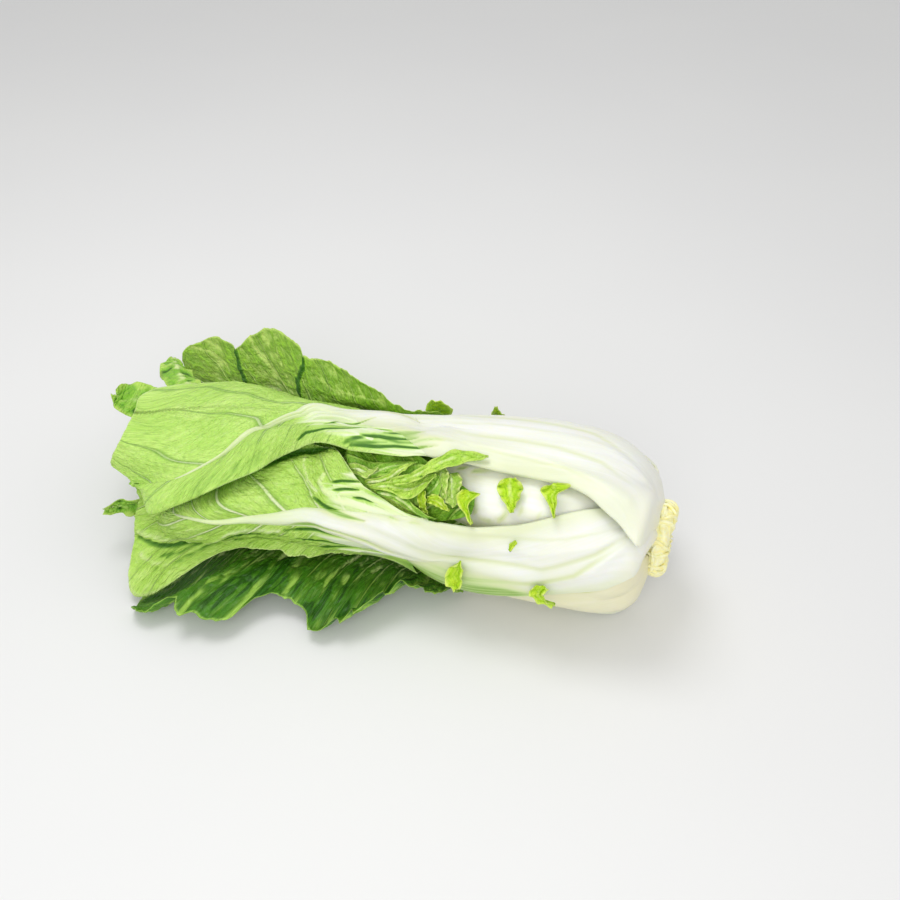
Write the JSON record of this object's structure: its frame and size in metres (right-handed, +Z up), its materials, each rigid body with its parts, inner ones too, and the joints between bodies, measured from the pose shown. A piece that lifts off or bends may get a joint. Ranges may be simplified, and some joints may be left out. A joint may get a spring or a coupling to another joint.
{
  "type": "bok choy head",
  "caption": "Whole bok choy head lying on its side, with broad white stalks that wrap a bulb, green leaf blades and small green lobes.",
  "frame": {"origin": "on the floor, in the middle of the box the head covers", "axes": "+X towards the root collar, -X towards the leaves, +Z up, -Y towards the side where the heart shows between two outer stalks"},
  "size_m": [0.4082, 0.2238, 0.1202],
  "materials": {
    "stalk": "ivory white and faintly waxy, with fine lengthwise ribs",
    "blade": "light yellow green, satin, finely veined",
    "young_blade": "fresh green, satin, finely veined",
    "root": "cream yellow, rough and fibrous, with a cut face"
  },
  "bodies": {
    "root": {"root_collar": "root", "stalk_heart_1": "stalk", "blade_heart_1": "young_blade", "stalk_heart_2": "stalk", "blade_heart_2": "young_blade", "stalk_heart_3": "stalk", "blade_heart_3": "young_blade", "stalk_heart_4": "stalk", "blade_heart_4": "young_blade", "stalk_heart_5": "stalk", "blade_heart_5": "young_blade", "stalk_inner_under": "stalk", "blade_inner_under": "young_blade", "stalk_inner_back": "stalk", "blade_inner_back": "young_blade", "stalk_inner_front": "stalk", "blade_inner_front": "young_blade", "stalk_inner_top": "stalk", "blade_inner_top": "young_blade", "stalk_frill": "stalk", "blade_frill": "young_blade", "stalk_inner_rear": "stalk", "blade_inner_rear": "young_blade", "stalk_low_front": "stalk", "blade_low_front": "blade", "stalk_front": "stalk", "blade_front": "blade", "stalk_under": "stalk", "blade_under": "blade", "stalk_top": "stalk", "blade_top": "blade", "stalk_rear": "stalk", "blade_rear": "blade", "lobe_1": "young_blade", "lobe_2": "young_blade", "lobe_3": "young_blade", "lobe_4": "young_blade", "lobe_5": "young_blade", "lobe_6": "young_blade", "lobe_7": "young_blade"}
  },
  "joints": []
}
